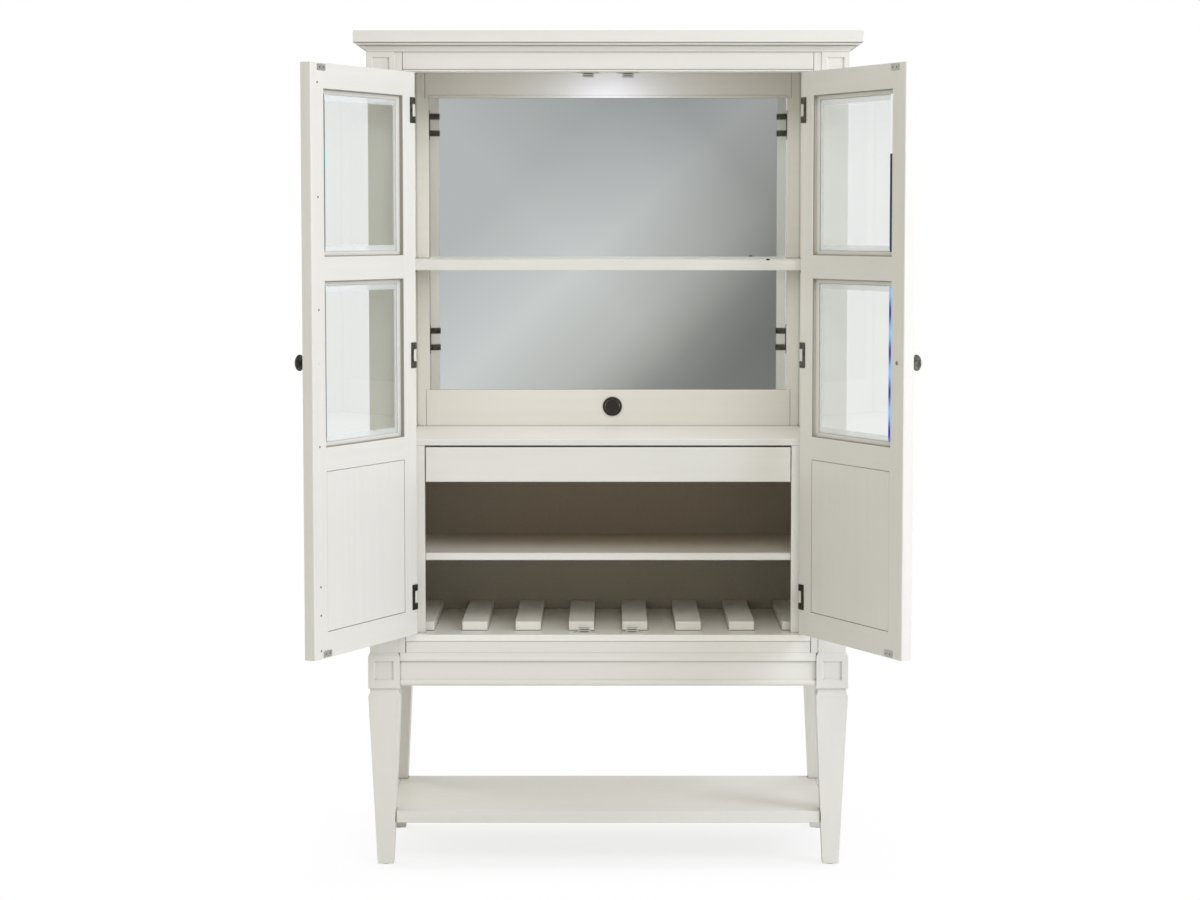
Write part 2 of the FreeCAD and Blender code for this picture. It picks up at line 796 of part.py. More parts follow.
panes = []
beads = []
eased_openings = []
for z0, z1 in openings[1:]:
    outline = (opening_far, opening_near, z0, z1)
    pane = inset(outline, glass_gap)
    pane_flat = inset(pane, glass_bevel)
    flat = lip_back + glass_edge
    crest = lip_back + glass_thick
    sheet = tapered(lip_back, pane, flat, pane)
    panes.append(sheet.fuse(tapered(flat, pane, crest, pane_flat)).removeSplitter())
    bead_foot = flat + fit
    bead_back = door_inner - bead_below_face
    ring = tapered(bead_foot, outline, bead_back, outline)
    sight = tapered(bead_foot, inset(outline, bead_width), bead_back, inset(outline, bead_crest))
    slope_room = tapered(bead_foot, pane, crest + fit, pane_flat)
    beads.append(ring.cut(sight).cut(slope_room).removeSplitter())
    eased_openings.append(tapered(door_inner - pane_ease, outline, door_inner, inset(outline, -pane_ease)))
stiles = group([member_solid.cut(eased_openings) for member_solid in stiles.Solids])
rails = [rail.cut(eased_openings) for rail in rails]

# Knob: a turned mushroom on a collar, screwed through the free stile

knob_x = free_edge + member / 2
knob_z = (door_foot + door_head) / 2
dome_drop = knob_projection ** 2 - knob_rim ** 2 - knob_radius ** 2
dome_z = dome_drop / (2 * (knob_projection - knob_rim))
dome = knob_projection - dome_z
dome_turn = (math.atan2(knob_rim - dome_z, knob_radius) + math.pi / 2) / 2
dome_mid = (dome * math.cos(dome_turn), 0, dome_z + dome * math.sin(dome_turn))
knob_edges = [
    line((0, 0, 0), (knob_base, 0, 0)),
    line((knob_base, 0, 0), (knob_base, 0, knob_collar)),
    line((knob_base, 0, knob_collar), (knob_neck, 0, knob_neck_foot)),
    line((knob_neck, 0, knob_neck_foot), (knob_neck, 0, knob_neck_top)),
    line((knob_neck, 0, knob_neck_top), (knob_radius, 0, knob_rim_foot)),
    line((knob_radius, 0, knob_rim_foot), (knob_radius, 0, knob_rim)),
    arc((knob_radius, 0, knob_rim), dome_mid, (0, 0, knob_projection)),
    line((0, 0, knob_projection), (0, 0, 0)),
]
knob = Part.Face(Part.Wire(knob_edges)).revolve(vec(0, 0, 0), vec(0, 0, 1), 360)
knob.rotate(vec(0, 0, 0), vec(1, 0, 0), 90)
knob.translate(vec(knob_x, door_face, knob_z))
screw_head = Part.makeCylinder(screw_radius, screw_height, vec(knob_x, door_inner, knob_z), vec(0, 1, 0))
screw_head = eased_front(screw_head, door_inner + screw_height, screw_slope)

# Strikes for the magnetic catches, one at each end of the free side

strikes = []
for x, z0 in ((strike_high, door_head - strike_from_end - strike_height),
              (strike_low, door_foot + strike_from_end)):
    x0 = x - strike_width / 2
    x1 = x + strike_width / 2
    strikes.append(box(x0, x1, door_inner, door_inner + strike_thick, z0, z0 + strike_height))

# Wrap-round hinges: the door leaf folds over the edge on to the inner face, its two arms straddle the
# frame leaf's tongue, and a pin with turned tips joins the knuckles

half_leaf = leaf_height / 2
tongue_half = half_leaf - leaf_arm - knuckle_gap
leaf_outer = hinge_edge + leaf
leaf_inner_face = door_inner + leaf


def barrel(radius, z0, z1):
    return Part.makeCylinder(radius, z1 - z0, vec(pin_x, pin_y, z0))


def finial(z, up):
    start = vec(pin_x, pin_y, z + up * (half_leaf + finial_neck))
    middle = start + vec(0, 0, up * finial_bulb / 2)
    along = vec(0, 0, up)
    swell = Part.makeCone(pin_radius, finial_radius, finial_bulb / 2, start, along)
    return [swell, Part.makeCone(finial_radius, finial_tip, finial_bulb / 2, middle, along)]


def door_leaf(z):
    arms = []
    for z0, z1 in ((z - half_leaf, z - half_leaf + leaf_arm), (z + half_leaf - leaf_arm, z + half_leaf)):
        arms.append(box(hinge_edge, leaf_outer, pin_y, leaf_inner_face, z0, z1))
        arms.append(box(leaf_outer - leaf_reach, leaf_outer, door_inner, leaf_inner_face, z0, z1))
        arms.append(barrel(knuckle_radius, z0, z1))
    web = box(leaf_outer - leaf_reach, leaf_outer - leaf_reach + leaf_web, door_inner, leaf_inner_face,
              z - half_leaf, z + half_leaf)
    pin = barrel(pin_radius, z - half_leaf - finial_neck, z + half_leaf + finial_neck)
    return web.fuse(arms + [pin] + finial(z, 1) + finial(z, -1)).removeSplitter()


def frame_leaf(z):
    low = z - tongue_half
    high = z + tongue_half
    plate = box(opening_half - leaf, opening_half, pin_y, door_face + tongue_reach, low, high)
    knuckle = barrel(knuckle_radius, low, high)
    hole = barrel(pin_radius + pin_clearance, z - leaf_height, z + leaf_height)
    return plate.fuse(knuckle).cut(hole).removeSplitter()


hinge_heights = [door_head - hinge_from_end, knob_z, door_foot + hinge_from_end]
frame_leaves = []
for z in hinge_heights:
    frame_leaves += [frame_leaf(z), mirrored(frame_leaf(z))]
save("hinge_frame_leaves", group(frame_leaves))

door_pieces = {
    "stiles": stiles,
    "rails": group(rails),
    "panel": panel,
    "glass": group(panes),
    "beads": group(beads),
    "knob": group([knob, screw_head]),
    "strikes": group(strikes),
    "hinges": group([door_leaf(z) for z in hinge_heights]),
}
for name, shape in door_pieces.items():
    swung = shape.copy()
    swung.rotate(vec(pin_x, pin_y, 0), vec(0, 0, 1), open_angle)
    save("right_door_" + name, swung)
    save("left_door_" + name, mirrored(swung))
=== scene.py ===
import json
import math

import bpy
from mathutils import Matrix, Vector


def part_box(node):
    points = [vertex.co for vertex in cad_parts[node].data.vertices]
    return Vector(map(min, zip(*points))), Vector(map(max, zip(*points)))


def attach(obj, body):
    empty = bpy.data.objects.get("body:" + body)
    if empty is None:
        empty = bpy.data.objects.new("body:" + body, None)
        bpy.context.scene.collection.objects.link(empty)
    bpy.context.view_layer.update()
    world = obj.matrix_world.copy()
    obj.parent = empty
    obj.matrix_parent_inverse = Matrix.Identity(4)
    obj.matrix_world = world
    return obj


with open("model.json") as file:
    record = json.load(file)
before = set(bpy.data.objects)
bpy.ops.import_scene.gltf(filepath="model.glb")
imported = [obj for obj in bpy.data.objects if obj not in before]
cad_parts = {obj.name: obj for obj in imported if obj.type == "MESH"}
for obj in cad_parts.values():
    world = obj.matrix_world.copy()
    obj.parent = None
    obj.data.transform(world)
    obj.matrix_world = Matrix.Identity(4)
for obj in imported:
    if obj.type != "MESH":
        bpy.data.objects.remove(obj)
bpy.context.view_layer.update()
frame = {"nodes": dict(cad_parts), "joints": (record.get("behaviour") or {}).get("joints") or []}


# Stand: four tapered legs joined by aprons, with a low shelf on two stretchers.
# Solid hardwood in warm off-white satin paint, rubbed on thin enough for its glaze to darken the joints; painted
# shade darkens its corners and hollows too.
# The legs are screwed to the case floor through their blocks and stand on black plastic glides.

class Link:
    """A socket in a material. Operators on it add Math nodes, and add() any other node."""

    def __init__(self, tree, socket=None):
        self.tree = tree
        self.socket = socket

    def add(self, kind, settings, sockets, out=0):
        node = self.tree.nodes.new("ShaderNode" + kind)
        for name, value in settings.items():
            if name == "stops":
                stops = node.color_ramp.elements
                while len(stops) < len(value):
                    stops.new(1.0)
                for stop, (place, colour) in zip(stops, value):
                    stop.position = place
                    stop.color = colour
            else:
                setattr(node, name, value)
        for name, value in sockets.items():
            if isinstance(value, Link):
                self.tree.links.new(value.socket, node.inputs[name])
            else:
                node.inputs[name].default_value = value
        return Link(self.tree, node.outputs[out] if node.outputs else None)

    def math(self, operation, first, second):
        return self.add("Math", {"operation": operation}, {0: first, 1: second})

    def __add__(self, other):
        return self.math("ADD", self, other)

    __radd__ = __add__

    def __sub__(self, other):
        return self.math("SUBTRACT", self, other)

    def __rsub__(self, other):
        return self.math("SUBTRACT", other, self)

    def __mul__(self, other):
        return self.math("MULTIPLY", self, other)

    __rmul__ = __mul__

    def __gt__(self, other):
        return self.math("GREATER_THAN", self, other)

    def __lt__(self, other):
        return self.math("LESS_THAN", self, other)

    def __abs__(self):
        return self.math("ABSOLUTE", self, 0.0)

    def blend(self, first, second):
        """The first colour where this value is 0, the second where it is 1."""
        return self.add("Mix", {"data_type": "RGBA"}, {0: self, 6: first, 7: second}, 2)

    def ramp(self, *stops):
        """Greys or colours set along this value."""
        stops = [(at, v if isinstance(v, list) else (v, v, v, 1)) for at, v in stops]
        return self.add("ValToRGB", {"stops": stops}, {0: self})

    def noise(self, scale, detail=3.0, roughness=0.5):
        sockets = {"Vector": self, "Scale": scale, "Detail": detail, "Roughness": roughness}
        return self.add("TexNoise", {}, sockets)

    def bump(self, strength, distance):
        return self.add("Bump", {}, {"Height": self, "Strength": strength, "Distance": distance})


def shown(red, green, blue):
    """A colour as it shows on a screen, 0 to 255, as the linear colour a shader takes."""
    parts = [v / 255 for v in (red, green, blue)]
    return [v / 12.92 if v <= 0.04045 else ((v + 0.055) / 1.055) ** 2.4 for v in parts] + [1.0]


def new_finish(name):
    """An empty material and its object coordinates."""
    finish = bpy.data.materials.new(name)
    finish.use_nodes = True
    finish.node_tree.nodes.clear()
    return finish, Link(finish.node_tree).add("TexCoord", {}, {}, "Object")


def coat(place, sockets):
    """Ends a material in one Principled surface."""
    surface = place.add("BsdfPrincipled", {}, sockets)
    place.add("OutputMaterial", {}, {"Surface": surface})


def dress(finish, *names):
    """Gives CAD nodes a finish."""
    for name in names:
        mesh = frame["nodes"][name].data
        mesh.materials.clear()
        mesh.materials.append(finish)


def painted(name, along, cream=(227, 225, 217), turn=0.0, shade_mask=None):
    """Satin paint brushed along one axis of a board, with glaze in its joints and painted shade in its corners
    and hollows.
    """
    finish, place = new_finish(name)
    across_strokes, along_strokes = 70.0, 2.2
    stretch = [across_strokes] * 3
    stretch["XYZ".index(along)] = along_strokes
    board = place.add("Mapping", {}, {"Vector": place, "Rotation": (0, 0, turn)})
    board = place.add("Mapping", {}, {"Vector": board, "Scale": stretch})
    strokes = board.noise(1.0, 4.0, 0.6)
    cloud = place.noise(3.1, 2.0)
    # Ambient occlusion darkens the colour near corners and close parts: glaze in the joints, painted shade in the
    # corners and hollows.
    close = place.add("AmbientOcclusion", {"samples": 6}, {"Distance": 0.007}, "AO")
    glaze_and_shade = close.ramp((0.42, 0.75), (0.80, 0.0))
    # A shade mask, where given, adds painted shade in a rail's joints, the crown's fillets or a door's openings.
    if shade_mask:
        glaze_and_shade = place.math("MAXIMUM", glaze_and_shade, shade_mask(place))
    warm = (strokes * 0.5 + cloud * 0.35).blend(shown(*cream), shown(*[v * 0.94 for v in cream]))
    # The dark brown-grey is the colour of the glaze and of the painted shade.
    colour = glaze_and_shade.blend(warm, shown(124, 117, 103))
    sheen = 0.36 + strokes * 0.12 + cloud * 0.06
    coat(place, {"Base Color": colour, "Roughness": sheen, "Normal": strokes.bump(0.12, 0.0006), "IOR": 1.46})
    return finish


upright = painted("paint_upright", "Z")
across = painted("paint_across", "X")
front_to_back = painted("paint_front_to_back", "Y")
dress(upright, "leg_front_left", "leg_front_right", "leg_rear_left", "leg_rear_right")
dress(across, "apron_front", "aprons_side_rear", "bottom_shelf")
dress(front_to_back, "shelf_stretchers")


def moulded(name, colour, grain, rough):
    """Moulded plastic with a fine spark-eroded grain."""
    finish, place = new_finish(name)
    spark = place.noise(grain, 2.0)
    tone = (spark * 0.5).blend(shown(*colour), shown(*[v * 0.72 for v in colour]))
    sockets = {"Base Color": tone, "Roughness": rough + spark * 0.15, "Normal": spark.bump(0.15, 0.0002)}
    coat(place, sockets)
    return finish


black = moulded("black_plastic", (34, 32, 30), 900.0, 0.45)
dress(black, "foot_glides", "grommet")


# Case: corner posts, a face frame, framed sides, a floor and a ceiling, all in the same paint, though the ceiling
# and inner walls take a warmer copy as painted shade and the floor a lighter copy as painted light.
# Boards are glued and dowelled; thin dark lines painted at both ends of the header and bottom rail stand in for
# the shade in their joints with the stiles.
# The back is one thin painted board, screwed into the rear posts; the back of the lower bays is a taupe board,
# darker than the paint partly as painted shade.

dress(upright, "post_front_left", "post_front_right", "posts_rear", "face_stiles", "liners",
      "side_panel_left", "side_panel_right")
# The ceiling and inner walls take a warmer copy of the paint: painted shade, the warm tint of light bounced round
# inside the case.
dress(painted("inner_wall_shade_warmed_paint", "Z", (229, 224, 210)), "inner_wall_left", "inner_wall_right", "ceiling")


def joint_shade(node):
    """Painted shade at both ends of a rail, standing in for the shade in its open joints with the stiles."""
    half_length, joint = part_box(node)[1][0], 0.0014

    def shade_mask(place):
        return (abs(place.add("SeparateXYZ", {}, {0: place}, "X")) > half_length - joint) * 0.8
    return shade_mask


for node in ("bottom_rail", "header_rail"):
    dress(painted(node + "_paint", "X", shade_mask=joint_shade(node)), node)
dress(front_to_back, "side_rails")


def darkened_board(name, dark):
    """Flat taupe board, finely flecked; its colour is set darker than the paint partly as painted shade."""
    finish, place = new_finish(name)
    fleck = place.noise(160.0, 4.0, 0.65)
    cloud = place.noise(4.0, 2.0)
    colour = (fleck * 0.6 + cloud * 0.3).blend(shown(*dark), shown(*[v * 0.82 for v in dark]))
    coat(place, {"Base Color": colour, "Roughness": 0.5 + fleck * 0.15, "Normal": fleck.bump(0.1, 0.0004)})
    return finish


# The back board of the lower bays is taupe, darker than the paint partly as painted shade for the deep bays.
dress(darkened_board("shade_darkened_lining", (188, 178, 160)), "lower_back")
dress(painted("back_board_paint", "Z", (206, 201, 190)), "back_panel")


def choose(piece, wanted):
    """Opens a piece for editing with the faces selected that a test on centre and normal wants."""
    bpy.context.view_layer.objects.active = piece
    bpy.context.tool_settings.mesh_select_mode = (False, False, True)
    for part in (piece.data.vertices, piece.data.edges):
        part.foreach_set("select", [False] * len(part))
    for face in piece.data.polygons:
        face.select = wanted(face.center, face.normal)
    bpy.ops.object.mode_set(mode="EDIT")


def button(radius, proud):
    """A low round head with a domed face, in millimetres, that stands on the ground and faces up."""
    bpy.ops.object.select_all(action="DESELECT")
    bpy.ops.mesh.primitive_cylinder_add(vertices=24, radius=radius, depth=proud / 2, location=(0, 0, proud / 4))
    bpy.ops.object.transform_apply(location=True, rotation=True, scale=True)
    head = bpy.context.object
    choose(head, lambda centre, facing: facing.z > 0.9)
    bpy.ops.mesh.inset(thickness=radius * 0.22, depth=proud * 0.36)
    bpy.ops.mesh.inset(thickness=radius * 0.3, depth=proud * 0.14)
    bpy.ops.object.mode_set(mode="OBJECT")
    return head


def screw(radius, proud):
    """A button with a cross cut into its face."""
    head = button(radius, proud)
    long, narrow = radius * 1.15, radius * 0.26
    for size in ((long, narrow, proud), (narrow, long, proud)):
        bpy.ops.mesh.primitive_cube_add(size=1.0, location=(0, 0, proud))
        cutter = bpy.context.object
        cutter.scale = size
        bpy.context.view_layer.objects.active = head
        cut = head.modifiers.new("cross", "BOOLEAN")
        cut.object = cutter
        bpy.context.view_layer.update()
        bpy.ops.object.modifier_apply(modifier=cut.name)
        bpy.data.objects.remove(cutter)
    return head


def fix(name, head, spots, finish, body):
    """Sets a copy of a head at each spot, given by its place and facing, and joins them to one piece."""
    bpy.ops.object.select_all(action="DESELECT")
    for spot, facing in spots:
        copy = bpy.data.objects.new(name, head.data.copy())
        bpy.context.collection.objects.link(copy)
        turn = Vector(facing).to_track_quat("Z", "Y").to_matrix().to_4x4()
        copy.data.transform(Matrix.Translation(spot) @ turn @ Matrix.Scale(0.001, 4))
        copy.select_set(True)
        bpy.context.view_layer.objects.active = copy
    if len(spots) > 1:
        bpy.ops.object.join()
    piece = bpy.context.object
    piece.name = name
    bpy.ops.object.shade_smooth_by_angle(angle=math.radians(35))
    piece.data.materials.clear()
    piece.data.materials.append(finish)
    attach(piece, body)
    bpy.data.objects.remove(head)


def brushed(name, colour, rough):
    """Plated steel with fine lengthwise scratches."""
    finish, place = new_finish(name)
    scratch = place.add("Mapping", {}, {"Vector": place, "Scale": (30.0, 30.0, 500.0)}).noise(2.0, 4.0)
    tone = scratch.blend(shown(*colour), shown(*[v * 0.8 for v in colour]))
    sockets = {"Base Color": tone, "Roughness": rough + scratch * 0.15, "Metallic": 1.0,
               "Normal": scratch.bump(0.08, 0.0002)}
    coat(place, sockets)
    return finish


plated = brushed("zinc_plate", (190, 190, 186), 0.3)
low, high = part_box("back_panel")
from_edge = 0.016
rows = [low[2] + from_edge + (high[2] - low[2] - 2 * from_edge) * step / 6 for step in range(7)]
columns = [low[0] + (high[0] - low[0]) * step / 4 for step in (1, 2, 3)]
backward = (0, 1, 0)
spots = [((x, high[1], z), backward) for x in (low[0] + from_edge, high[0] - from_edge) for z in rows]
spots += [((x, high[1], z), backward) for z in (low[2] + from_edge, high[2] - from_edge) for x in columns]
fix("back_panel_screws", screw(3.6, 0.8), spots, plated, "case")


# Mirror back: one silvered sheet with a polished edge, held in a painted frame against the back board.
# A black plastic cap closes the round cable hole in the middle of the frame's low rail.

def silvered(name):
    """Silvered float glass, faintly cool, with a soft haze."""
    finish, place = new_finish(name)
    haze = place.noise(2.3, 3.0)
    tone = (haze * 0.6).blend(shown(239, 243, 244), shown(232, 236, 236))
    coat(place, {"Base Color": tone, "Roughness": 0.015 + haze * 0.02, "Metallic": 1.0})
    return finish


dress(silvered("silvering"), "mirror")
dress(across, "mirror_frame")


# Counter, shelves, bottle slats and drawer, in the same paint, though the slats and the bay floor take a lighter
# copy of it as painted light; the shelves lie on small steel corner plates.
# The drawer is a plain painted front on a pale plywood box, between steel side runners.

dress(across, "counter", "display_shelf", "lower_shelf", "drawer_front")
# The slats and bay floor take a lighter copy of the paint: painted light where little light reaches them.
dress(painted("bay_lit_paint", "Y", (239, 237, 228)), "bottle_slats", "case_floor")


def ply(name):
    """Pale plywood with a fine lengthwise figure."""
    finish, place = new_finish(name)
    stretched = place.add("Mapping", {}, {"Vector": place, "Scale": (4.0, 4.0, 60.0)})
    figure = stretched.noise(1.6, 5.0, 0.6)
    tone = figure.blend(shown(214, 186, 146), shown(186, 152, 108))
    coat(place, {"Base Color": tone, "Roughness": 0.5 + figure * 0.12, "Normal": figure.bump(0.1, 0.0004)})
    return finish


dress(ply("plywood"), "drawer_box")
dress(plated, "shelf_pins", "drawer_runners")
low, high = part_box("display_shelf")
bumper_right, bumper_in = 0.3725, 0.012
spots = [((bumper_right, low[1] + bumper_in, high[2]), (0, 0, 1))]
fix("shelf_bumper", button(4.6, 3.8), spots, black, "case")


# Light and catches: a flat round lamp let into the ceiling behind a frosted lens, and four magnetic catches
# in grey plastic, two under the header and two on the floor.

def frosted(name, glow):
    """A frosted lens lit from behind, brighter over its lamps."""
    finish, place = new_finish(name)
    cells = place.add("TexVoronoi", {}, {"Vector": place, "Scale": 60.0})
    light = cells.ramp((0.0, 1.0), (0.7, 0.75)).blend((0, 0, 0, 1), shown(240, 240, 255))
    coat(place, {"Base Color": shown(235, 235, 238), "Roughness": 0.4 + cells * 0.1,
                 "Emission Color": light, "Emission Strength": glow})
    return finish


dress(frosted("lens", 1.0), "puck_lens")
dress(brushed("lamp_housing", (205, 203, 198), 0.35), "puck_light")
dress(moulded("grey_plastic", (208, 206, 199), 700.0, 0.4), "catches")
bpy.ops.object.select_all(action="DESELECT")
bpy.ops.mesh.primitive_cube_add(size=1.0)
plate = bpy.context.object
plate.scale = (21.0, 1.7, 0.16)
bpy.ops.object.transform_apply(location=True, rotation=True, scale=True)
choose(plate, lambda centre, facing: facing.z > 0.9)
bpy.ops.mesh.inset(thickness=0.2, depth=0.12)
bpy.ops.object.mode_set(mode="OBJECT")
low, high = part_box("catches")
half_height, pole_lift = 0.006, 0.0028
upper_catch, lower_catch = (0.046, high[2] - half_height), (0.056, low[2] + half_height)
spots = [((sign * x, low[1], z + lift), (0, -1, 0)) for sign in (-1, 1) for lift in (-pole_lift, pole_lift)
         for x, z in (upper_catch, lower_catch)]
fix("catch_poles", plate, spots, brushed("pole_steel", (66, 70, 77), 0.25), "case")


# Crown: a deep front moulding mitred to two side mouldings under a thin lid, all glued up from painted wood.
# Painted shade stays dark in the two fillets between its cove, ovolo and band, and along its foot, where the
# overhangs shade them.

def fillets(place):
    """Painted shade at the heights of the crown's fillets and foot."""
    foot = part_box("crown_front")[0][2]
    rise = (place.add("SeparateXYZ", {}, {0: place}, "Z") - foot) * 40.0
    return rise.ramp((0.02, 0.65), (0.06, 0.0), (0.50, 0.0), (0.525, 0.65), (0.58, 0.65), (0.61, 0.0),
                     (0.76, 0.0), (0.785, 0.75), (0.84, 0.75), (0.87, 0.0))


dress(painted("crown_front_paint", "X", shade_mask=fillets), "crown_front")
dress(painted("crown_side_paint", "Y", shade_mask=fillets), "crown_sides")
dress(across, "crown_top")


# Doors: mortised stiles and rails round two bevelled panes over a flat panel, on wrap-round hinges.
# Beads pinned inside hold the panes. Each has a turned bronze knob and two steel strikes for the catches.

hinge_of = {joint["child"]: joint for joint in frame["joints"]}
pin_to_inner, door_foot, door_head = 0.0294, 0.5515, 1.8495


def opened(side):
    """The turn that takes a closed door to where it stands open."""
    joint = hinge_of[side + "_door"]
    pin = Matrix.Translation(joint["pos_m"])
    turn = Matrix.Rotation(-math.radians(joint["range_deg"][0]), 4, Vector(joint["axis"]))
    return pin @ turn @ pin.inverted()


def spread(place, side):
    """How far a point on an open door lies from its pin, below its inner face, and above the floor."""
    turn = opened(side).to_3x3()
    pin = Vector(hinge_of[side + "_door"]["pos_m"])
    along = turn @ Vector((1 if side == "left" else -1, 0, 0))
    inward = turn @ Vector((0, 1, 0))
    measure = [place.add("VectorMath", {"operation": "DOT_PRODUCT"}, {0: place, 1: way}, "Value") - way.dot(pin)
               for way in (along, inward)]
    return measure[0], pin_to_inner - measure[1], place.add("SeparateXYZ", {}, {0: place}, "Z")


pane_middle, pane_half, pane_end = 0.2355, 0.1768, 0.398
panes_middle, panes_apart, pane_rise = 1.4045, 0.20825, 0.17975
openings_middle, openings_rise = 1.2005, 0.635


def opening_shade(side):
    """Painted shade in the openings of a door, darkest just below its inner face, where the stiles and rails
    shade the recess.
    """
    def shade_mask(place):
        along, depth, height = spread(place, side)
        beside = abs(along - pane_middle) < pane_half + 0.002
        inside = beside * (abs(height - openings_middle) < openings_rise)
        recess_shade = (depth * 60.0).ramp((0.03, 0.0), (0.10, 0.92), (0.5, 0.62), (0.56, 0.25), (0.85, 0.0))
        return recess_shade * inside
    return shade_mask


def grey_fringe(height):
    """Colours painted as a glow along the left panes' bevels by the free edge, standing in for what the bevels
    refract: grey, with one green band.
    """
    band_middle, band_half = 1.645, 0.022
    grey = (height > panes_middle).blend(shown(150, 154, 154), shown(114, 118, 118))
    return (abs(height - band_middle) < band_half).blend(grey, shown(68, 148, 148))


def blue_fringe(height):
    """Colours painted as a glow along the right panes' bevels by the free edge, standing in for the light the
    bevels split: blue and violet in turn, then grey, then white.
    """
    bluest, radians_per_metre, white_from = 1.178, 71.4, 1.655
    turn = height.math("COSINE", (height - bluest) * radians_per_metre, 0.0) * 0.5 + 0.5
    blue = turn.blend(shown(74, 72, 160), shown(142, 194, 250))
    grey = (height > white_from).blend(shown(64, 70, 80), shown(235, 236, 236))
    return (height > panes_middle).blend(blue, grey)


def clear(name, side, fringe, reach):
    """Clear glass with a bevel round each pane, lightened by a painted pale sheen, and a thin painted glow of
    split light by its free edge.
    """
    finish, place = new_finish(name)
    along, _, height = spread(place, side)
    beside = pane_half - abs(along - pane_middle)
    above = pane_rise - abs(abs(height - panes_middle) - panes_apart)
    # The bevel band mixes in a pale matt surface: a painted sheen standing in for the light the bevel refracts.
    ground = (place.math("MINIMUM", beside, above) * 40.0).ramp((0.5, 0.37), (0.84, 0.31), (0.90, 0.0))
    smear = place.noise(7.0, 3.0)
    tint = (smear * 0.5).blend(shown(240, 242, 242), shown(236, 239, 239))
    glass = place.add("BsdfPrincipled", {}, {"Base Color": tint, "Roughness": smear * 0.01, "IOR": 1.5,
                                             "Transmission Weight": 1.0})
    painted_bevel_sheen = place.add("BsdfDiffuse", {}, {"Color": shown(232, 234, 232)})
    pane = place.add("MixShader", {}, {0: ground, 1: glass, 2: painted_bevel_sheen})
    # The fringe is painted light: an emission by the free edge standing in for what the bevel refracts and
    # splits.
    split = place.add("Emission", {}, {"Color": fringe(height)})
    slant = place.add("LayerWeight", {}, {"Blend": 0.5}, "Facing").ramp((0.25, 0.0), (0.42, 1.0))
    line = (along > reach) * (along < pane_end) * slant
    pane = place.add("MixShader", {}, {0: line, 1: pane, 2: split})
    through = place.add("BsdfTransparent", {}, {"Color": shown(244, 248, 247)})
    ray = place.add("LightPath", {}, {}, "Is Shadow Ray")
    soft = place.add("LightPath", {}, {}, "Is Diffuse Ray")
    pane = place.add("MixShader", {}, {0: place.math("MAXIMUM", ray, soft), 1: pane, 2: through})
    place.add("OutputMaterial", {}, {"Surface": pane})
    return finish


def patinated(name, dark, light, side=None):
    """Dark oil-rubbed bronze, paler where it is handled; paint may cover it on a door's inner face."""
    finish, place = new_finish(name)
    worn = place.noise(120.0, 4.0, 0.6)
    tone = worn.ramp((0.4, 0.0), (0.75, 1.0)).blend(shown(*dark), shown(*light))
    metal = 0.85
    if side:
        over = spread(place, side)[1] < 0.002
        tone = over.blend(tone, shown(226, 223, 216))
        metal = 0.85 - over * 0.85
    coat(place, {"Base Color": tone, "Roughness": 0.26 + worn * 0.2, "Metallic": metal, "Coat Weight": 0.35,
                 "Coat Roughness": 0.12, "Normal": worn.bump(0.1, 0.0002)})
    return finish


def hung(side, inset, out, height, facing):
    """A spot on an open door and its facing, from its place in and out from the pin with the door shut."""
    turn = opened(side)
    pin = Vector(hinge_of[side + "_door"]["pos_m"])
    sign = -1 if side == "left" else 1
    spot = turn @ Vector((pin.x - sign * inset, pin.y + out, height))
    return spot, turn.to_3x3() @ Vector((sign * facing[0], facing[1], 0))


bronze = patinated("bronze", (54, 51, 47), (110, 104, 96))
knobs = {"left": patinated("left_knob_bronze", (46, 44, 42), (96, 94, 90), "left"),
         # The right knob takes a paler copy of the bronze: a painted highlight standing in for the key light's
         # gleam on it.
         "right": patinated("right_knob_highlit_bronze", (84, 84, 76), (176, 178, 168))}
fringes = {"left": (grey_fringe, 0.389), "right": (blue_fringe, 0.384)}
bright_plate = brushed("strike_plate", (214, 214, 210), 0.35)
dress(bronze, "hinge_frame_leaves")

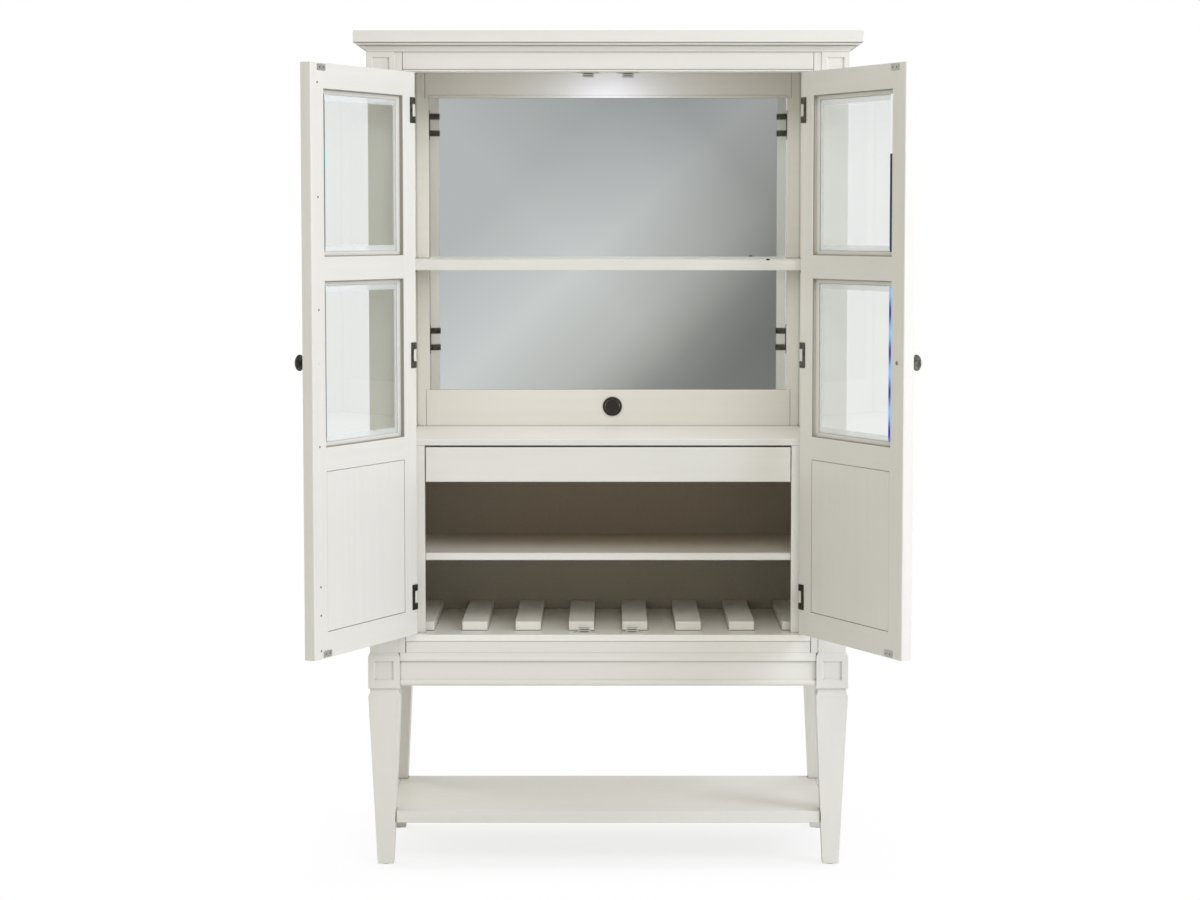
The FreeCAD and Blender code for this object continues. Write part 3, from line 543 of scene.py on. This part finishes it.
hinge_from_end, leaf_thick = 0.087, 0.0015
hinge_heights = (door_head - hinge_from_end, (door_head + door_foot) / 2, door_foot + hinge_from_end)
web_screw, arm_screw, arm_lift = 0.0187, 0.0075, 0.02175
edge_screw_in, edge_screw_out = 0.0002, 0.023
strike_from_end, strike_screw = 0.0095, 0.008
pin_x = abs(hinge_of["left_door"]["pos_m"][0])
inward, outward = (0, 1), (1, 0)
arm_heights = [z + lift for z in hinge_heights for lift in (-arm_lift, arm_lift)]
strikes = ((upper_catch[0], door_head - strike_from_end), (lower_catch[0], door_foot + strike_from_end))
for side, sign in (("left", -1), ("right", 1)):
    swing = -sign * math.radians(-hinge_of[side + "_door"]["range_deg"][0])
    dress(painted(side + "_stile_paint", "Z", shade_mask=opening_shade(side)), side + "_door_stiles")
    dress(painted(side + "_rail_paint", "X", turn=swing, shade_mask=opening_shade(side)), side + "_door_rails",
          side + "_door_beads")
    dress(upright, side + "_door_panel")
    dress(bronze, side + "_door_hinges")
    dress(knobs[side], side + "_door_knob")
    dress(bright_plate, side + "_door_strikes")
    dress(clear(side + "_glass", side, *fringes[side]), side + "_door_glass")
    screws = [hung(side, web_screw, pin_to_inner + leaf_thick, z, inward) for z in hinge_heights]
    screws += [hung(side, arm_screw, pin_to_inner + leaf_thick, z, inward) for z in arm_heights]
    screws += [hung(side, edge_screw_in, edge_screw_out, z, outward) for z in arm_heights]
    fix(side + "_hinge_screws", screw(2.5, 0.5), screws, bronze, side + "_door")
    screws = [hung(side, pin_x - x + shift, pin_to_inner + leaf_thick, z, inward)
              for shift in (-strike_screw, strike_screw) for x, z in strikes]
    fix(side + "_strike_screws", screw(2.0, 0.25), screws, bronze, side + "_door")

stile_screw_x, stile_screw_heights = 0.029, (1.807, 1.560, 1.316, 1.018, 0.711, 0.648, 0.570)
screws = [hung("left", pin_x - stile_screw_x, pin_to_inner, z, inward) for z in stile_screw_heights]
dark_steel = brushed("dark_steel", (104, 102, 98), 0.3)
fix("left_stile_screws", screw(2.6, 0.4), screws, dark_steel, "left_door")
leaf_wall, leaf_screw_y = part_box("hinge_frame_leaves")[1][0] - leaf_thick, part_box("header_rail")[0][1] + 0.012
screws = [((sign * leaf_wall, leaf_screw_y, z), (-sign, 0, 0)) for sign in (-1, 1) for z in hinge_heights]
fix("frame_leaf_screws", screw(2.5, 0.5), screws, bronze, "case")


# Stage: a pale floor that keeps the contact shadow, a grey wall behind the camera for the mirror to show,
# soft lamps, white surroundings and the camera of the photograph.

def sight(place):
    """1 for a ray that shows the surroundings: to the camera, in a reflection or through glass."""
    straight = place.add("LightPath", {}, {}, "Is Camera Ray")
    mirrored = place.add("LightPath", {}, {}, "Is Glossy Ray")
    passing = place.add("LightPath", {}, {}, "Is Transmission Ray")
    scattered = place.add("LightPath", {}, {}, "Diffuse Depth")
    shows = place.math("MAXIMUM", place.math("MAXIMUM", straight, mirrored), passing)
    return shows * (1 - (scattered > 0.5))


bpy.ops.object.select_all(action="DESELECT")
bpy.ops.mesh.primitive_plane_add(size=60.0)
floor = bpy.context.object
floor.name = "floor"
finish, place = new_finish("floor_white")
stand_half_width, stand_middle, stand_half_depth = 0.50, 0.21, 0.23
beside = abs(place.add("SeparateXYZ", {}, {0: place}, "X")) - stand_half_width
before = abs(place.add("SeparateXYZ", {}, {0: place}, "Y") - stand_middle) - stand_half_depth
reach = place.math("MAXIMUM", beside, before)
bright = (reach * 2.0).ramp((0.0, 0.78), (0.12, 0.93), (0.5, 1.0))
matt = place.add("BsdfDiffuse", {}, {"Color": (0.85, 0.85, 0.85, 1)})
glow = place.add("Emission", {}, {"Color": (1, 1, 1, 1), "Strength": 1.0})
mixed = place.add("MixShader", {}, {0: sight(place) * bright, 1: matt, 2: glow})
place.add("OutputMaterial", {}, {"Surface": mixed})
floor.data.materials.append(finish)

bpy.ops.mesh.primitive_plane_add(size=9.0, location=(0, -8.0, 3.0), rotation=(math.pi / 2, 0, 0))
bpy.ops.object.transform_apply(location=True, rotation=True, scale=True)
wall = bpy.context.object
wall.name = "studio_wall"
wall.visible_camera = wall.visible_diffuse = wall.visible_transmission = wall.visible_shadow = False
finish, place = new_finish("studio_wall_grey")
brightest_x, brightest_z = -0.153, 1.289
cosine, sine = 0.684, 0.73
right = place.add("SeparateXYZ", {}, {0: place}, "X") - brightest_x
up = place.add("SeparateXYZ", {}, {0: place}, "Z") - brightest_z
over = (right * cosine - up * sine) * 0.5 + 0.5
along = (right * sine + up * cosine) * 0.5 + 0.5
falling = over.ramp((0.22, 0.78), (0.5, 1.0), (0.72, 0.77), (0.80, 0.61), (0.87, 0.44), (0.95, 0.35),
                    (1.0, 0.325))
fading = along.ramp((0.5, 1.0), (0.66, 0.89), (0.80, 0.80), (0.93, 0.68), (1.0, 0.60))
tone = over.ramp((0.45, [1.0, 1.01, 1.0, 1.0]), (0.8, [1.03, 1.02, 0.96, 1.0]))
lit = (falling * fading).blend((0, 0, 0, 1), tone)
place.add("OutputMaterial", {}, {"Surface": place.add("Emission", {}, {"Color": lit, "Strength": 0.68})})
wall.data.materials.append(finish)

world = bpy.data.worlds.new("studio")
bpy.context.scene.world = world
world.use_nodes = True
world.node_tree.nodes.clear()
sky = Link(world.node_tree)
white = sky.add("Background", {}, {"Color": (1, 1, 1, 1), "Strength": 1.0})
soft = sky.add("Background", {}, {"Color": (1.0, 0.99, 0.925, 1), "Strength": 0.6})
sky.add("OutputWorld", {}, {"Surface": sky.add("MixShader", {}, {0: sight(sky), 1: soft, 2: white})})


def lamp(name, place, aim, size, power, colour=(1, 1, 1), depth=None):
    """A soft lamp aimed at a point, square or shallower, unseen by the camera and in reflections."""
    bpy.ops.object.light_add(type="AREA", location=place)
    light = bpy.context.object
    light.name = name
    light.rotation_euler = (Vector(aim) - Vector(place)).to_track_quat("-Z", "Y").to_euler()
    light.data.shape = "RECTANGLE"
    light.data.size = size
    light.data.size_y = depth or size
    light.data.energy = power
    light.data.color = colour
    light.visible_glossy = light.visible_transmission = False


middle = (0, 0, 1.1)
cool = (0.80, 0.833, 1.0)
lamp("key", (3.8, -2.2, 3.0), middle, 2.0, 88.0, cool)
lamp("low_key", (4.5, -3.2, 1.8), middle, 2.4, 44.0, cool)
lamp("front", (0.6, -4.2, 3.9), middle, 2.4, 60.0, (1.0, 0.963, 0.945))
low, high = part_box("puck_lens")
under_lens = (0.0, high[1], low[2] - 0.002)
lamp("ceiling_light", under_lens, (0.0, high[1], 0.0), 0.05, 0.5, (0.84, 0.85, 1.0))
bpy.ops.object.light_add(type="POINT", location=(0.0, high[1] + 0.03, low[2] - 0.025))
spill = bpy.context.object
spill.name = "ceiling_light_spill"
spill.data.energy = 0.42
spill.data.color = (0.66, 0.72, 1.0)
spill.data.shadow_soft_size = 0.02
spill.visible_glossy = spill.visible_transmission = False
lamp("upper_fill", (0.0, 0.2, 1.78), (0.0, 0.2, 0.0), 0.86, 1.05, (0.95, 0.96, 1.0), 0.36)
lamp("bay_fill", (0.0, 0.2, 1.385), (0.0, 0.2, 0.0), 0.86, 1.55, (0.94, 0.94, 1.0), 0.36)
lamp("rear_left", (-4.0, 2.6, 2.4), middle, 2.4, 60.0)
lamp("rear_right", (3.0, 3.6, 2.4), middle, 2.4, 50.0)

eye, look_down = (0.0, -6.6414, 1.4958), 4.46
bpy.ops.object.camera_add(location=eye, rotation=(math.radians(90 - look_down), 0, 0))
camera = bpy.context.object
camera.data.sensor_width = 36.0
camera.data.lens = 85.82
camera.data.shift_x = -0.00675
bpy.context.scene.camera = camera
bpy.context.scene.view_settings.view_transform = "Standard"
